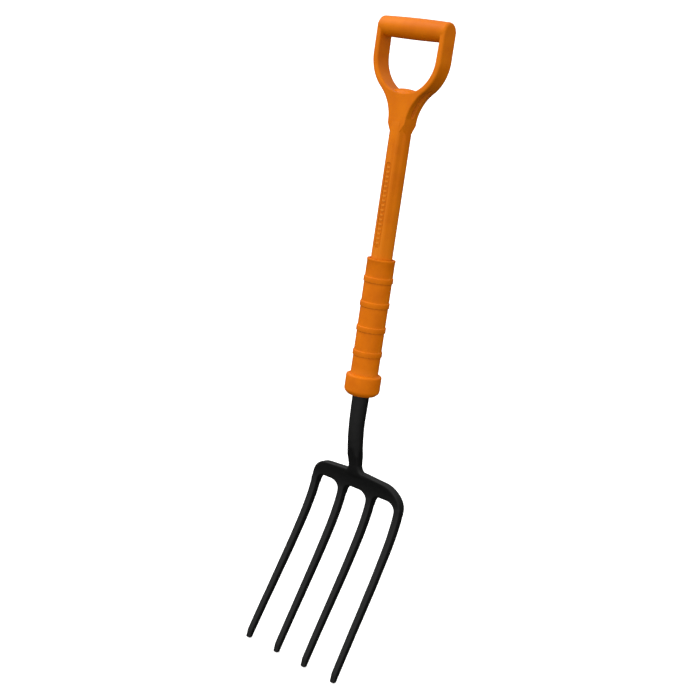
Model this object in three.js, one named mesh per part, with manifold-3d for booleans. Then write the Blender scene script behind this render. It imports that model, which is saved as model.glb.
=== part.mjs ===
// Insulated digging fork: a forged four-tine head on a polymer handle with a glass-fibre core.
// Millimetres. +Z runs up the shaft, X runs along the grip bar, and -Y is the hollow front of the tines.
// Heights are measured above the tine tips, and the last lines bring the grip bar's middle to the origin.

import * as THREE from 'three';
import * as BufferGeometryUtils from 'three/addons/utils/BufferGeometryUtils.js';
import { TessellateModifier } from 'three/addons/modifiers/TessellateModifier.js';
import Module from 'manifold-3d';

const wasm = await Module();
wasm.setup();

// Head
const tinePitch = 63;
const outerTineInset = 1.9;      // the outer tines start this much inside their pitch ...
const outerTineSplay = 4.5;      // ... and spread by this much at the tips
const tineRootWidth = 12.2;
const tineTipWidth = 9.8;
const tineRootDepth = 14;
const tineTipDepth = 10.8;
const tineTop = 276;
const tineSquareness = 5;        // power of the rounded section: 2 is an ellipse, higher is squarer
const tipBevelLength = 11;
const tipEdgeDepth = 6.6;
const crossheadThickness = 15.4;
const crossheadEdge = 2;
const crossheadHalfWidth = 98;
const treadHeight = 313.4;       // top of the crosshead beside the neck
const treadFall = 2.8;           // how much lower the tread is at its outer end
const treadInnerX = 19.5;
const treadOuterX = 64;
const shoulderBottom = 272;
const gapTop = 283.2;
const gapArch = 1;               // rise of the gap's arch above its corners
const gapCornerRadius = 14.5;
const tineRootHeight = 262;
const rootInset = 0.9;           // the crosshead's legs end this far inside the faces of the tines
const longestPlateEdge = 26;     // short enough for the flat crosshead to follow the centre line

// Neck and socket
const neckBaseWidth = 23.6;
const neckBaseDepth = 15.6;
const neckBaseSquareness = 3.2;
const neckMiddleDiameter = 26;
const neckDiameter = 28;
const neckBottom = 304;
const neckSquareTop = 318;       // from here the squarish base turns into the round neck ...
const neckRoundBottom = 372;     // ... up to here
const neckTop = 450;
const treadFilletRadius = 10;
const socketDiameter = 35.2;
const socketBore = 31;
const socketFloor = 462;
const socketFloorTaper = { inwards: 4, upwards: 12 };
const socketTop = 600;
const socketConeTop = 485;

// Shaft, core and rivets
const shaftDiameter = 35;
const spigotDiameter = 30.4;
const spigotBottom = 475;
const coreDiameter = 24;
const coreTop = 895;
const clearance = 0.3;
const overlap = 5;               // how far pieces that are joined or cut reach into each other
const rivetDiameter = 6;
const rivetHeadDiameter = 9.4;
const rivetHeadFlat = 0.8;       // height of the head's straight rim
const rivetHeadHeight = 2.4;
const rivetHalfLength = socketDiameter / 2 - 0.8;
const rivetHeights = { rivet_lower: 505, rivet_upper: 565 };

// Sleeve and collar
const sleeveDiameter = 45.7;
const sleeveBore = 35.8;
const sleeveBottom = 457.8;
const sleeveTop = 673;
const sleeveLip = 1.4;
const ringDiameter = 48.4;
const ringHeight = 8.5;
const ringFoot = 0.3;
const ringCrown = 1.8;
const ringCount = 4;
const firstRing = 513.7;
const ringPitch = 40.65;
const collarDiameter = 59;
const collarBottom = 449;
const collarTop = 483;
const collarChamfer = 6.5;
const collarEdgeRadius = 4;
const collarFloor = 457.5;
const collarHoleDiameter = 30.4;

// Yoke and D-grip
const gripHalfWidth = 67.4;
const gripCentreHeight = 995.5;  // centre of the round lower half of the D
const gripInnerRadius = 57.4;
const handOpeningFlare = 2;      // how much wider the opening is under the bar
const gripDepth = 30;
const gripEdge = 2.4;
const barHeight = 1037;
const barDiameter = 33.8;
const barEndDiameter = 31.8;
const barEndRadius = 4.5;
const yokeHalfWidth = 17;
const yokeInset = 0.6;           // the turned yoke stays this far inside the D's fillets
const yokeSquareness = 5;
const yokeFilletRadius = 66;
const yokeBottom = 866;
const yokeTop = 934;
const palmHumpSize = [24, 11, 9];   // half lengths of the hump in the bottom of the hand opening
const palmHumpHeight = 936;
const pocketSize = [29, 6, 5.5];    // half lengths of the hollow in each side of the yoke
const pocketX = 28;
const pocketHeight = 924;
const pocketTilt = 57;              // degrees that the hollow leans up from the X axis

// Centre line of the head seen from the side: tines swept forward, neck cranked back over them
const headCentreLine = new THREE.CatmullRomCurve3([
  [-84.1, 0], [-61.3, 50], [-33.2, 110], [-5.9, 170], [17.8, 230], [26.4, 275],
  [13.1, 325], [4.6, 361], [0.3, 397], [0, 425], [0, neckTop],
].map(([y, z]) => new THREE.Vector3(0, y, z)), false, 'centripetal').getSpacedPoints(240);

function centreY(height) {
  const last = headCentreLine.length - 1;
  const next = headCentreLine.findIndex((point) => point.z >= height);
  if (next < 1) return height <= 0 ? headCentreLine[0].y : headCentreLine[last].y;
  const [below, above] = [headCentreLine[next - 1], headCentreLine[next]];
  return THREE.MathUtils.mapLinear(height, below.z, above.z, below.y, above.y);
}

const paintedSteel = () => new THREE.MeshStandardMaterial({ color: '#1b1b1b', roughness: 0.45, metalness: 0.2 });
const orangePolymer = () => new THREE.MeshStandardMaterial({ color: '#d0691f', roughness: 0.4 });
const glassFibre = () => new THREE.MeshStandardMaterial({ color: '#c9c39a', roughness: 0.6 });
const plainSteel = () => new THREE.MeshStandardMaterial({ color: '#9a9a9c', roughness: 0.35, metalness: 1 });

function welded(geometry) {
  const bare = geometry.clone();
  for (const name of Object.keys(bare.attributes)) {
    if (name !== 'position') bare.deleteAttribute(name);
  }
  return BufferGeometryUtils.mergeVertices(bare, 1e-4);
}

function solidOf(closed) {
  return new wasm.Manifold(new wasm.Mesh({
    numProp: 3,
    vertProperties: closed.attributes.position.array,
    triVerts: Uint32Array.from(closed.index.array),
  }));
}

function solid(geometry) {
  return solidOf(welded(geometry));
}

function meshOf(name, body, material) {
  const { vertProperties, triVerts } = body.getMesh();
  const geometry = new THREE.BufferGeometry();
  geometry.setAttribute('position', new THREE.BufferAttribute(vertProperties, 3));
  geometry.setIndex(new THREE.BufferAttribute(triVerts, 1));
  geometry.computeVertexNormals();
  const mesh = new THREE.Mesh(geometry, material);
  mesh.name = name;
  return mesh;
}

// A closed tube with one cross-section at each station. shapeAt gives the section's middle, its half
// width along X, its half depth along lean, and a power: 2 is an ellipse, higher is squarer.
function sweptTube(stations, sides, shapeAt) {
  const steps = stations.length - 1;
  const geometry = welded(new THREE.CylinderGeometry(1, 1, 1, sides, steps));
  const position = geometry.attributes.position;
  for (let i = 0; i < position.count; i += 1) {
    const station = stations[Math.round((position.getY(i) + 0.5) * steps)];
    const { middle, halfWidth, halfDepth, power = 2, lean = new THREE.Vector3(0, 1, 0) } = shapeAt(station);
    const round = (value) => Math.sign(value) * Math.abs(value) ** (2 / power);
    const place = middle.clone().addScaledVector(lean, -round(position.getZ(i)) * halfDepth);
    place.x += round(position.getX(i)) * halfWidth;
    position.setXYZ(i, place.x, place.y, place.z);
  }
  return solidOf(geometry);
}

// A body turned round the shaft's axis from a closed profile of [radius, height] corners
function turned(profile, sides = 36) {
  const points = [...profile, profile[0]].map(([radius, height]) => new THREE.Vector2(radius, height));
  return solid(new THREE.LatheGeometry(points, sides).rotateX(Math.PI / 2));
}

function rod(diameter, bottom, top, sides = 32) {
  const radius = diameter / 2;
  return turned([[0, bottom], [radius, bottom], [radius, top], [0, top]], sides);
}

// A plate cut to an outline in X and height, standing upright, centred on Y = 0, with eased edges
function uprightPlate(shape, depth, edge, curveSegments) {
  const geometry = new THREE.ExtrudeGeometry(shape, {
    depth: depth - 2 * edge, bevelThickness: edge, bevelSize: edge, bevelOffset: -edge, bevelSegments: 2,
    curveSegments,
  });
  return geometry.translate(0, 0, edge - depth / 2).rotateX(Math.PI / 2);
}

function evenSteps(from, to, count) {
  return Array.from({ length: count + 1 }, (_, i) => THREE.MathUtils.lerp(from, to, i / count));
}

function tine(index) {
  const side = index - 1.5;
  const outer = Math.abs(side) > 1;
  const stations = [0, tipBevelLength / 2, tipBevelLength, ...evenSteps(30, tineTop, 12)];
  return sweptTube(stations, 16, (height) => {
    const up = height / tineTop;
    const depth = THREE.MathUtils.lerp(tineTipDepth, tineRootDepth, up);
    const bevel = Math.max(0, 1 - height / tipBevelLength) * (depth - tipEdgeDepth);
    const spread = outer ? outerTineSplay * (1 - up) - outerTineInset : 0;
    const slopePerMillimetre = centreY(height + 1) - centreY(height);
    const lean = new THREE.Vector3(0, 1, -slopePerMillimetre).normalize();
    const middle = new THREE.Vector3(side * tinePitch + Math.sign(side) * spread, centreY(height), height);
    middle.addScaledVector(lean, bevel / 2);
    return {
      middle,
      halfWidth: THREE.MathUtils.lerp(tineTipWidth, tineRootWidth, up) / 2,
      halfDepth: (depth - bevel) / 2,
      power: tineSquareness,
      lean,
    };
  });
}

// Outline of the crosshead: two treads falling outwards, round shoulders, three arched gaps between tines
function crossheadOutline() {
  const neck = neckBaseWidth / 2;
  const outline = new THREE.Shape();
  const shoulderWidth = crossheadHalfWidth - treadOuterX;
  const treadEnd = treadHeight - treadFall;
  outline.moveTo(-neck, treadHeight + treadFilletRadius);
  outline.quadraticCurveTo(-neck, treadHeight, -treadInnerX, treadHeight);
  outline.lineTo(-treadOuterX, treadEnd);
  outline.absellipse(-treadOuterX, shoulderBottom, shoulderWidth, treadEnd - shoulderBottom,
    Math.PI / 2, Math.PI, false);
  outline.lineTo(-crossheadHalfWidth + rootInset, tineRootHeight);
  for (const gap of [-1, 0, 1]) {
    const middle = gap * (tinePitch - outerTineInset / 2);
    const halfGap = (tinePitch - tineRootWidth - Math.abs(gap) * outerTineInset) / 2;
    const halfArch = halfGap - gapCornerRadius;
    const [springing, corner] = [gapTop - gapCornerRadius, gapTop - gapArch];
    outline.lineTo(middle - halfGap - rootInset, tineRootHeight);
    outline.lineTo(middle - halfGap, springing);
    outline.quadraticCurveTo(middle - halfGap, corner, middle - halfArch, corner);
    outline.quadraticCurveTo(middle, gapTop + gapArch, middle + halfArch, corner);
    outline.quadraticCurveTo(middle + halfGap, corner, middle + halfGap, springing);
    outline.lineTo(middle + halfGap + rootInset, tineRootHeight);
  }
  outline.lineTo(crossheadHalfWidth - rootInset, tineRootHeight);
  outline.lineTo(crossheadHalfWidth, shoulderBottom);
  outline.absellipse(treadOuterX, shoulderBottom, shoulderWidth, treadEnd - shoulderBottom,
    0, Math.PI / 2, false);
  outline.lineTo(treadInnerX, treadHeight);
  outline.quadraticCurveTo(neck, treadHeight, neck, treadHeight + treadFilletRadius);
  return outline;
}

function crosshead() {
  const flat = uprightPlate(crossheadOutline(), crossheadThickness, crossheadEdge, 6);
  const fine = welded(new TessellateModifier(longestPlateEdge, 8).modify(flat));
  const position = fine.attributes.position;
  for (let i = 0; i < position.count; i += 1) {
    position.setY(i, position.getY(i) + centreY(position.getZ(i)));
  }
  return solidOf(fine);
}

function neck() {
  return sweptTube(evenSteps(neckBottom, neckTop, 12), 24, (height) => {
    const up = THREE.MathUtils.smoothstep(height, neckSquareTop, neckRoundBottom);
    const diameter = THREE.MathUtils.mapLinear(height, neckBottom, neckTop, neckMiddleDiameter, neckDiameter);
    return {
      middle: new THREE.Vector3(0, centreY(height), height),
      halfWidth: THREE.MathUtils.lerp(neckBaseWidth, diameter, up) / 2,
      halfDepth: THREE.MathUtils.lerp(neckBaseDepth, diameter, up) / 2,
      power: THREE.MathUtils.lerp(neckBaseSquareness, 2, up),
    };
  });
}

function socket() {
  const [outside, inside, bottom] = [socketDiameter / 2, socketBore / 2, neckDiameter / 2];
  const { inwards, upwards } = socketFloorTaper;
  return turned([
    [0, neckTop - 1], [bottom, neckTop - 1], [outside, socketConeTop], [outside, socketTop], [inside, socketTop],
    [inside, socketFloor + upwards], [inside - inwards, socketFloor], [0, socketFloor],
  ], 32);
}

// A flush rivet across the shaft, with a countersunk head at each end. With a gap it is the hole for it.
function rivetBody(height, gap) {
  const [shank, head] = [rivetDiameter / 2 + gap, rivetHeadDiameter / 2 + gap];
  const end = rivetHalfLength + 4 * gap;
  const half = [
    [shank, rivetHalfLength - rivetHeadHeight], [head, rivetHalfLength - rivetHeadFlat], [head, end], [0, end],
  ];
  const profile = [...half.toReversed().map(([radius, along]) => [radius, -along]), ...half, [0, -end]];
  const points = profile.map(([radius, along]) => new THREE.Vector2(radius, along));
  return solid(new THREE.LatheGeometry(points, 16).translate(0, 0, height));
}

function drilled(body) {
  return Object.values(rivetHeights).reduce((rest, height) => rest.subtract(rivetBody(height, clearance)), body);
}

function forkHead() {
  const pieces = [crosshead(), neck(), socket(), ...[0, 1, 2, 3].map(tine)];
  return drilled(pieces.reduce((joined, piece) => joined.add(piece)));
}

// The D's outer edge: a half circle and two straight arms, drawn in to the shaft by a hollow fillet each side
function gripOutline() {
  const filletX = yokeHalfWidth + yokeFilletRadius;
  const filletReach = gripHalfWidth + yokeFilletRadius;
  const filletDrop = Math.sqrt(filletReach ** 2 - filletX ** 2);
  const turn = Math.atan2(filletDrop, filletX);
  const filletHeight = gripCentreHeight - filletDrop;
  const outline = new THREE.Shape();
  outline.moveTo(yokeHalfWidth, filletHeight);
  outline.absarc(filletX, filletHeight, yokeFilletRadius, Math.PI, Math.PI - turn, true);
  outline.absarc(0, gripCentreHeight, gripHalfWidth, -turn, 0, false);
  outline.lineTo(gripHalfWidth, barHeight);
  outline.lineTo(-gripHalfWidth, barHeight);
  outline.absarc(0, gripCentreHeight, gripHalfWidth, Math.PI, Math.PI + turn, false);
  outline.absarc(-filletX, filletHeight, yokeFilletRadius, turn, 0, true);
  const hand = new THREE.Path();
  hand.moveTo(-gripInnerRadius - handOpeningFlare, barHeight - barDiameter / 4);
  hand.lineTo(-gripInnerRadius, gripCentreHeight);
  hand.absarc(0, gripCentreHeight, gripInnerRadius, Math.PI, 2 * Math.PI, false);
  hand.lineTo(gripInnerRadius + handOpeningFlare, barHeight - barDiameter / 4);
  outline.holes.push(hand);
  return outline;
}

function gripBar() {
  const end = gripHalfWidth;
  const [middle, tip] = [barDiameter / 2, barEndDiameter / 2];
  const barrel = evenSteps(-1, 1, 8).map((s) => [middle - (middle - tip) * s * s, s * (end - barEndRadius)]);
  const rounded = (s) => [tip - barEndRadius * (1 - Math.cos(s)), end - barEndRadius * (1 - Math.sin(s))];
  const cap = [Math.PI / 4, Math.PI / 2].map(rounded);
  const points = [[0, -end], ...cap.toReversed().map(([r, x]) => [r, -x]), ...barrel, ...cap, [0, end], [0, -end]];
  const geometry = new THREE.LatheGeometry(points.map(([radius, x]) => new THREE.Vector2(radius, x)), 32);
  return solid(geometry.rotateZ(-Math.PI / 2).translate(0, 0, barHeight));
}

// Shaft and yoke in one: round below, growing wide and flat into the bottom of the D
function shaftAndYoke() {
  const filletX = yokeHalfWidth + yokeFilletRadius;
  const filletHeight = gripCentreHeight - Math.sqrt((gripHalfWidth + yokeFilletRadius) ** 2 - filletX ** 2);
  const stations = [socketTop + 2 * clearance, ...evenSteps(yokeBottom, yokeTop, 8)];
  return sweptTube(stations, 32, (height) => {
    const up = THREE.MathUtils.smoothstep(height, yokeBottom, yokeTop);
    const above = Math.max(0, height - filletHeight);
    const spread = filletX - Math.sqrt(yokeFilletRadius ** 2 - above ** 2) - yokeInset;
    return {
      middle: new THREE.Vector3(0, 0, height),
      halfWidth: THREE.MathUtils.lerp(shaftDiameter / 2, Math.max(spread, yokeHalfWidth), Math.sqrt(up)),
      halfDepth: THREE.MathUtils.lerp(shaftDiameter, gripDepth, up) / 2,
      power: THREE.MathUtils.lerp(2, yokeSquareness, up),
    };
  });
}

function ellipsoid(halfLengths) {
  return new THREE.SphereGeometry(1, 16, 8).scale(...halfLengths);
}

// The lens-shaped hollow in each side of the yoke
function sidePocket(side) {
  const tilt = -side * THREE.MathUtils.degToRad(pocketTilt);
  return solid(ellipsoid(pocketSize).rotateY(tilt).translate(side * pocketX, 0, pocketHeight));
}

function handleMoulding() {
  const plate = solid(uprightPlate(gripOutline(), gripDepth, gripEdge, 10));
  const palmHump = solid(ellipsoid(palmHumpSize).translate(0, 0, palmHumpHeight));
  const outside = [plate, gripBar(), palmHump, rod(spigotDiameter, spigotBottom, socketTop + overlap)]
    .reduce((joined, piece) => joined.add(piece), shaftAndYoke());
  const bore = rod(coreDiameter + 2 * clearance, spigotBottom - overlap, coreTop + clearance, 24);
  return drilled([bore, sidePocket(1), sidePocket(-1)].reduce((rest, cut) => rest.subtract(cut), outside));
}

function insulatingSleeve() {
  const [wall, proud, bore] = [sleeveDiameter / 2, ringDiameter / 2, sleeveBore / 2];
  const rings = Array.from({ length: ringCount }, (_, i) => firstRing + i * ringPitch).flatMap((bottom) => [
    [wall, bottom], [proud, bottom + ringFoot], [proud, bottom + ringHeight - ringCrown],
    [wall, bottom + ringHeight],
  ]);
  return turned([
    [bore, sleeveBottom], [wall, sleeveBottom], ...rings, [wall, sleeveTop - sleeveLip],
    [wall - sleeveLip, sleeveTop], [bore, sleeveTop],
  ]);
}

function guardCollar() {
  const [rim, bore, hole] = [collarDiameter / 2, sleeveDiameter / 2 + clearance, collarHoleDiameter / 2];
  const shoulder = [0, 0.5, 1].map((s) => [
    rim - collarEdgeRadius * (1 - Math.cos(s * Math.PI / 2)),
    collarTop - collarEdgeRadius * (1 - Math.sin(s * Math.PI / 2)),
  ]);
  return turned([
    [hole, collarBottom], [rim - collarChamfer, collarBottom], [rim, collarBottom + collarChamfer], ...shoulder,
    [bore, collarTop], [bore, collarFloor], [hole, collarFloor],
  ]);
}

const fork = new THREE.Group();
fork.add(meshOf('fork_head', forkHead(), paintedSteel()));
fork.add(meshOf('handle_moulding', handleMoulding(), orangePolymer()));
fork.add(meshOf('insulating_sleeve', insulatingSleeve(), orangePolymer()));
fork.add(meshOf('guard_collar', guardCollar(), orangePolymer()));
fork.add(meshOf('shaft_core', drilled(rod(coreDiameter, spigotBottom, coreTop, 24)), glassFibre()));
for (const [name, height] of Object.entries(rivetHeights)) {
  fork.add(meshOf(name, rivetBody(height, 0), plainSteel()));
}

// The origin is the middle of the grip bar, by which the fork is held and hung up
fork.position.z = -barHeight;

export default fork;
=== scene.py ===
import math
import bmesh
import bpy
from mathutils import Matrix, Vector


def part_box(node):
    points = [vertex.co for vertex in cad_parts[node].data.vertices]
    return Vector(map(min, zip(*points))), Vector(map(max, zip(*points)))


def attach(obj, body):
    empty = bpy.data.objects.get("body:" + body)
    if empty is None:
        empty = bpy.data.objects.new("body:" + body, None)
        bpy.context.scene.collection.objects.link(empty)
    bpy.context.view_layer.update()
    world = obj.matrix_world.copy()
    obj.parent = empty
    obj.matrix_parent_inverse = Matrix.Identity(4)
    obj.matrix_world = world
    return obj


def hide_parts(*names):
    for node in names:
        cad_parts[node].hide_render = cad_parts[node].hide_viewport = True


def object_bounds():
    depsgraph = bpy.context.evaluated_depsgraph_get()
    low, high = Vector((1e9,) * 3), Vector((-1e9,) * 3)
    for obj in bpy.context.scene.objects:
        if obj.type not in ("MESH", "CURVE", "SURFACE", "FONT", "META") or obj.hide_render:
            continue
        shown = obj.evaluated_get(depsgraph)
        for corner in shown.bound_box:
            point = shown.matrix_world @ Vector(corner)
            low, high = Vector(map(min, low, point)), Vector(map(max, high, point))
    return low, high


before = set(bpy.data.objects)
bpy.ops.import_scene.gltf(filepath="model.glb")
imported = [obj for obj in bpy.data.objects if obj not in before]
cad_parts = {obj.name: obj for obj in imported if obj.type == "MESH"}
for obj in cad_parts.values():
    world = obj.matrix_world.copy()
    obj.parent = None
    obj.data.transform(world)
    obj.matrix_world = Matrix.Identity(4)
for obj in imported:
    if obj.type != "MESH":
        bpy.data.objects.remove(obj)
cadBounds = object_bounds()
bpy.ops.object.select_all(action="DESELECT")
mm = 0.001
metre = 1000  # in millimetres: a pattern of a real size has the scale metre / size
slack = 0.02 * mm  # how far a vertex may lie from where it is looked for

# Heights are in millimetres above the tine tips, and X and Y in millimetres from the shaft's axis.
sleeveLow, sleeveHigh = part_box("insulating_sleeve")
sleeveTopHeight = 673  # of the CAD sleeve
tipLevel = sleeveHigh.z / mm - sleeveTopHeight
axisX = (sleeveLow.x + sleeveHigh.x) / 2 / mm
axisY = (sleeveLow.y + sleeveHigh.y) / 2 / mm


def at(x, y, height):
    return Vector((axisX + x, axisY + y, tipLevel + height)) * mm


def startEdit(piece):
    bpy.ops.object.select_all(action="DESELECT")
    piece.select_set(True)
    bpy.context.view_layer.objects.active = piece
    bpy.ops.object.mode_set(mode="EDIT")
    bpy.ops.mesh.select_mode(type="VERT")


def endEdit():
    bpy.ops.object.mode_set(mode="OBJECT")


def pick(piece, kind, test):
    bpy.ops.mesh.select_mode(type=kind)
    bpy.ops.mesh.select_all(action="DESELECT")
    mesh = bmesh.from_edit_mesh(piece.data)
    for part in {"VERT": mesh.verts, "EDGE": mesh.edges, "FACE": mesh.faces}[kind]:
        if test(part):
            part.select_set(True)
    bmesh.update_edit_mesh(piece.data)


# Extrudes what is selected from one section to the next, and scales it there
def pushOn(fromPoint, toPoint, scale):
    bpy.ops.mesh.extrude_region_move(TRANSFORM_OT_translate={"value": toPoint - fromPoint})
    bpy.ops.transform.resize(value=scale, center_override=toPoint)


def applyModifier(piece, kind, **settings):
    bpy.ops.object.select_all(action="DESELECT")
    piece.select_set(True)
    bpy.context.view_layer.objects.active = piece
    modifier = piece.modifiers.new(kind.lower(), kind)
    for name, value in settings.items():
        setattr(modifier, name, value)
    bpy.ops.object.modifier_apply(modifier=modifier.name)


# Puts the object at the origin, with its place in its mesh
def settle(piece):
    bpy.ops.object.select_all(action="DESELECT")
    piece.select_set(True)
    bpy.context.view_layer.objects.active = piece
    bpy.ops.object.transform_apply(location=True, rotation=True, scale=True)
    return piece


def outward(piece):
    startEdit(piece)
    bpy.ops.mesh.select_all(action="SELECT")
    bpy.ops.mesh.remove_doubles(threshold=0.002 * mm)
    bpy.ops.mesh.normals_make_consistent(inside=False)
    endEdit()
    return settle(piece)


def joinPieces(name, pieces):
    bpy.ops.object.select_all(action="DESELECT")
    for piece in pieces:
        piece.select_set(True)
    bpy.context.view_layer.objects.active = pieces[0]
    bpy.ops.object.join()
    pieces[0].name = name
    return pieces[0]


def cutAway(piece, cutter):
    applyModifier(piece, "BOOLEAN", object=cutter, operation="DIFFERENCE", solver="EXACT")


def discard(piece):
    bpy.data.objects.remove(piece)


def softenAll(piece, angle):
    bpy.ops.object.select_all(action="DESELECT")
    piece.select_set(True)
    bpy.context.view_layer.objects.active = piece
    bpy.ops.object.shade_smooth_by_angle(angle=math.radians(angle))


# A body of round sections pushed on from one (radius, height) to the next up the shaft's axis
def turnOnShaft(name, profile, segments, closed):
    radius, height = profile[0]
    bpy.ops.mesh.primitive_circle_add(vertices=segments, radius=radius * mm, location=at(0, 0, height))
    piece = bpy.context.object
    piece.name = name
    startEdit(piece)
    bpy.ops.mesh.select_all(action="SELECT")
    for nextRadius, nextHeight in profile[1:] + (profile[:1] if closed else []):
        growth = nextRadius / radius
        pushOn(at(0, 0, height), at(0, 0, nextHeight), (growth, growth, 1))
        radius, height = nextRadius, nextHeight
    endEdit()
    return outward(piece)


# Rounds the ring of edges that runs round the shaft at one radius and height
def easeRing(piece, radius, height, width, segments):
    startEdit(piece)
    middle = at(0, 0, height)

    def onRing(edge):
        return all(
            abs(math.hypot(v.co.x - middle.x, v.co.y - middle.y) - radius * mm) < slack
            and abs(v.co.z - middle.z) < slack
            for v in edge.verts
        )

    pick(piece, "EDGE", onRing)
    bpy.ops.mesh.bevel(offset=width * mm, segments=segments, profile=0.5, clamp_overlap=True)
    endEdit()


# The soft sleeve over the joint of shaft and socket, with four raised rings
sleeve = {
    "radius": 22.85, "bore": 17.9, "bottom": 457.8, "top": 675, "sides": 144, "crease": 50,
    "ringRadius": 24.25, "ringHeight": 8.6, "rings": 4, "firstRing": 515, "ringPitch": 40.65,
    "hold": 2, "draft": 0.1, "ringEdge": 1.3, "rootEdge": 0.5, "underEdge": 0.35,
    "lip": 0.4, "lipHeight": 4, "lipFoot": 0.8, "lipEdge": 1, "mouth": (0.6, 1.5), "mouthEdge": 0.5,
}


def makeSleeve():
    s = sleeve
    profile = [(s["bore"], s["bottom"]), (s["radius"], s["bottom"])]
    ringHeights = [s["firstRing"] + i * s["ringPitch"] for i in range(s["rings"])]
    for low in ringHeights:
        high = low + s["ringHeight"]
        profile += [(s["radius"], low - s["hold"]), (s["radius"], low)]
        profile += [(s["ringRadius"], low + s["draft"]), (s["ringRadius"], high)]
        profile += [(s["radius"], high), (s["radius"], high + s["hold"])]
    lipRadius = s["radius"] + s["lip"]
    lipBottom = s["top"] - s["lipHeight"]
    mouthWidth, mouthDepth = s["mouth"]
    profile += [(s["radius"], lipBottom), (lipRadius, lipBottom + s["lipFoot"]), (lipRadius, s["top"])]
    profile += [(s["bore"] + mouthWidth, s["top"]), (s["bore"], s["top"] - mouthDepth)]
    piece = turnOnShaft("moulded_sleeve", profile, s["sides"], closed=True)
    for low in ringHeights:
        high = low + s["ringHeight"]
        easeRing(piece, s["ringRadius"], high, s["ringEdge"], segments=5)
        easeRing(piece, s["radius"], high, s["rootEdge"], segments=3)
        easeRing(piece, s["ringRadius"], low + s["draft"], s["underEdge"], segments=2)
    easeRing(piece, lipRadius, s["top"], s["lipEdge"], segments=4)
    easeRing(piece, s["bore"] + mouthWidth, s["top"], s["mouthEdge"], segments=3)
    softenAll(piece, s["crease"])
    return piece


# The guard collar round the sleeve's foot
collar = {
    "radius": 29.4, "bottom": 448.6, "top": 482.7, "chamfer": 6.2, "bore": 23.2, "hole": 15.2, "floor": 457.5,
    "rim": 2, "rimRise": 1.2, "skirt": 0.3, "sides": 144, "crease": 50,
    "topEdge": 3, "rimEdge": 1.6, "chamferEdge": 3, "bottomEdge": 2, "holeEdge": 0.8,
}


def makeCollar():
    c = collar
    inside = c["bore"] - c["skirt"]
    rimTop = c["top"] + c["rimRise"]
    profile = [
        (c["hole"], c["bottom"]), (c["radius"] - c["chamfer"], c["bottom"]),
        (c["radius"], c["bottom"] + c["chamfer"]), (c["radius"], c["top"]),
        (c["bore"] + c["rim"], c["top"]), (c["bore"], rimTop), (inside, rimTop),
        (inside, c["floor"]), (c["hole"], c["floor"]),
    ]
    piece = turnOnShaft("moulded_collar", profile, c["sides"], closed=True)
    easeRing(piece, c["radius"], c["top"], c["topEdge"], segments=7)
    easeRing(piece, c["bore"] + c["rim"], c["top"], c["rimEdge"], segments=4)
    easeRing(piece, c["radius"], c["bottom"] + c["chamfer"], c["chamferEdge"], segments=5)
    easeRing(piece, c["radius"] - c["chamfer"], c["bottom"], c["bottomEdge"], segments=4)
    easeRing(piece, c["hole"], c["bottom"], c["holeEdge"], segments=3)
    softenAll(piece, c["crease"])
    return piece


# The shaft, the yoke and the D-grip are one moulding
grip = {
    "halfWidth": 67.4, "innerRadius": 57.3, "depth": 30.4, "setBack": 0.6, "edge": 2.6, "centre": 994.6,
    "ringSteps": 60, "armLean": 0.6, "armRise": 3, "armTaper": 1.2, "openingDepth": 80,
    "barHeight": 1037, "barRadius": 16.8, "barEndRadius": 15.8, "barEdge": 4.2, "barSides": 96, "barSteps": 8,
    "humpHalf": (30, 12.5, 9.4), "humpHeight": 936.2,
    "shaftRadius": 17.5, "shaftTop": 898, "shaftSides": 96, "boreRadius": 12.3, "boreTop": 896,
    "bottom": 475, "spigotRadius": 15.2, "spigotTop": 600.6,
    "roundTop": 867, "footLap": 8, "squareBottom": 889, "squareHalf": (16.9, 15.5), "squareEdge": 1.6,
    "seamHeight": 900, "seamGap": 0.3,
    "filletRadius": 70, "yokeHalf": 17.1, "yokeTop": 941, "yokeSteps": 12, "deepenOver": 40,
    "pocketHalf": (29, 8.6), "pocketX": 32.6, "pocketHeight": 923, "pocketTilt": 57, "pocketOuter": 9,
    "pocketReach": 11, "pocketMiddle": (0.75, 0.84, 0.5), "pocketFloor": (0.62, 0.12),
    "voxel": 0.72, "smoothing": (0.5, 4), "crease": 24,
}


def yokeFillet():
    g = grip
    x = g["yokeHalf"] + g["filletRadius"]
    drop = math.sqrt((g["halfWidth"] + g["filletRadius"]) ** 2 - x ** 2)
    return x, g["centre"] - drop


def makeRing():
    g = grip
    middleX = (g["halfWidth"] + g["innerRadius"]) / 2
    thickness = g["halfWidth"] - g["innerRadius"]
    start = at(middleX, g["setBack"], g["centre"])
    bpy.ops.mesh.primitive_plane_add(size=mm, location=start)
    piece = bpy.context.object
    startEdit(piece)
    bpy.ops.mesh.select_all(action="SELECT")
    bpy.ops.transform.resize(value=(thickness, g["depth"], 1), center_override=start)
    bpy.ops.mesh.bevel(offset=g["edge"] * mm, segments=4, affect="VERTICES")
    bpy.ops.mesh.spin(steps=g["ringSteps"], angle=-math.pi, center=at(0, 0, g["centre"]), axis=(0, 1, 0))
    for side in (1, -1):
        foot = at(side * middleX, g["setBack"], g["centre"])
        top = at(side * (middleX + g["armLean"]), g["setBack"], g["barHeight"] + g["armRise"])

        def endFace(face):
            return (face.calc_center_median() + piece.location - foot).length < 2 * mm

        pick(piece, "FACE", endFace)
        pushOn(foot, top, (1 - g["armTaper"] / thickness, 1, 1))
    endEdit()
    return outward(piece)


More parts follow.
